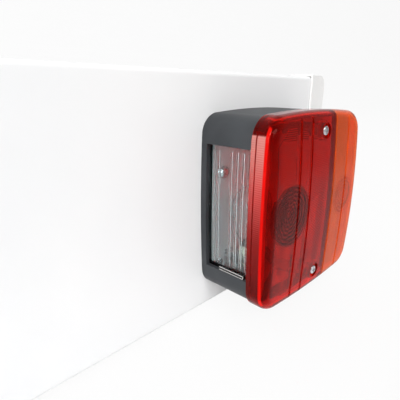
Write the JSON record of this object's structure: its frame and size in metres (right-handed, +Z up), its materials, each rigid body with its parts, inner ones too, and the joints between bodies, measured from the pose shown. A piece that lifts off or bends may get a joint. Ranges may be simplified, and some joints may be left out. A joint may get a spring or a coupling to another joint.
{
  "type": "trailer lighting board",
  "caption": "Long flat white board with end caps and a boxy charcoal rear lamp near each end, with red and amber front lenses and a clear side window for the number plate.",
  "frame": {"origin": "centre of the board's fixing-hole pattern, on the board's back face", "axes": "+X along the board to the right as seen from behind the vehicle, +Y out of the board's back, +Z up"},
  "size_m": [1.22, 0.0719, 0.143],
  "materials": {
    "board_white": "smooth white extruded plastic",
    "cap_white": "smooth white moulded plastic",
    "housing_charcoal": "satin charcoal moulding",
    "rubber_black": "soft black rubber",
    "lens_red": "clear red plastic",
    "lens_amber": "clear amber plastic",
    "window_clear": "clear fluted plastic",
    "reflector_grey": "light grey moulding",
    "terminal_nylon": "off-white nylon",
    "brass": "plain brass",
    "bulb_brass": "plain brass",
    "zinc_steel": "bright zinc plate",
    "socket_steel": "plated steel",
    "insulator_brown": "brown laminate",
    "filament_wire": "grey wire",
    "bulb_glass": "clear glass"
  },
  "bodies": {
    "root": {"board_panel": "board_white", "left_amber_lens": "lens_amber", "left_cable_grommet": "rubber_black", "left_contact_strips": "brass", "left_end_cap": "cap_white", "left_indicator_bulb_cap": "bulb_brass", "left_indicator_bulb_filament": "filament_wire", "left_indicator_bulb_glass": "bulb_glass", "left_indicator_insulator": "insulator_brown", "left_indicator_socket": "socket_steel", "left_lamp_bolts": "zinc_steel", "left_lamp_housing": "housing_charcoal", "left_lamp_nuts": "zinc_steel", "left_lamp_washers": "zinc_steel", "left_lens_screws": "zinc_steel", "left_lens_seal": "rubber_black", "left_plate_screws": "zinc_steel", "left_red_lens": "lens_red", "left_reflector_plate": "reflector_grey", "left_stop_bulb_cap": "bulb_brass", "left_stop_bulb_filament": "filament_wire", "left_stop_bulb_glass": "bulb_glass", "left_stop_insulator": "insulator_brown", "left_stop_socket": "socket_steel", "left_terminal_block": "terminal_nylon", "left_terminal_screws": "brass", "left_window_lens": "window_clear", "right_amber_lens": "lens_amber", "right_cable_grommet": "rubber_black", "right_contact_strips": "brass", "right_end_cap": "cap_white", "right_indicator_bulb_cap": "bulb_brass", "right_indicator_bulb_filament": "filament_wire", "right_indicator_bulb_glass": "bulb_glass", "right_indicator_insulator": "insulator_brown", "right_indicator_socket": "socket_steel", "right_lamp_bolts": "zinc_steel", "right_lamp_housing": "housing_charcoal", "right_lamp_nuts": "zinc_steel", "right_lamp_washers": "zinc_steel", "right_lens_screws": "zinc_steel", "right_lens_seal": "rubber_black", "right_plate_screws": "zinc_steel", "right_red_lens": "lens_red", "right_reflector_plate": "reflector_grey", "right_stop_bulb_cap": "bulb_brass", "right_stop_bulb_filament": "filament_wire", "right_stop_bulb_glass": "bulb_glass", "right_stop_insulator": "insulator_brown", "right_stop_socket": "socket_steel", "right_terminal_block": "terminal_nylon", "right_terminal_screws": "brass", "right_window_lens": "window_clear"}
  },
  "joints": []
}
